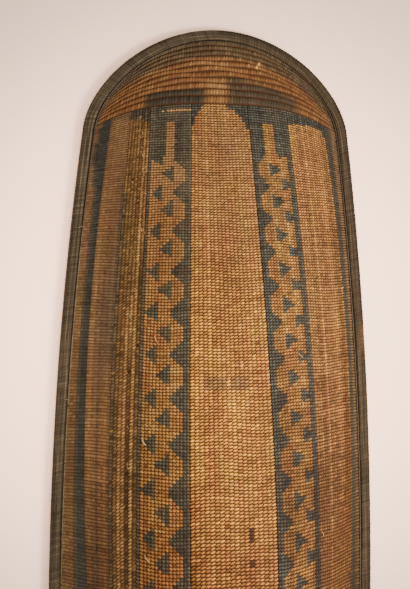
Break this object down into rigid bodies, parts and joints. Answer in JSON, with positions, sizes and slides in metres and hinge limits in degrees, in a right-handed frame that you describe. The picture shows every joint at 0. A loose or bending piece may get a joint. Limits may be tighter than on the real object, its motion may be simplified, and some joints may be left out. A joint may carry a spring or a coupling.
{
  "type": "woven raffia shield",
  "caption": "Long domed shield of twined raffia with patterned bands, a wrapped rim edged with split cane, and a lashed wooden hand grip in the hollow behind; lies face up on its rim.",
  "frame": {"origin": "under the middle of the shield, on the flat plane of its rim", "axes": "+Z out of the domed face, which looks up; +Y along the shield to the end that the picture shows; +X across it"},
  "size_m": [0.354, 1.282, 0.112],
  "materials": {
    "natural_raffia": "dry twined leaf fibre, slightly polished on the crests",
    "dark_raffia": "dark dyed leaf fibre, dull",
    "split_cane": "smooth split cane, slight sheen",
    "carved_wood": "hand worn, satin",
    "fibre_cord": "twisted plant cord, dull"
  },
  "bodies": {
    "root": {"woven_body": "natural_raffia", "rim_binding": "dark_raffia", "edging_cane": "split_cane", "hand_grip": "carved_wood", "upper_grip_lashing": "fibre_cord", "lower_grip_lashing": "fibre_cord"}
  },
  "joints": []
}
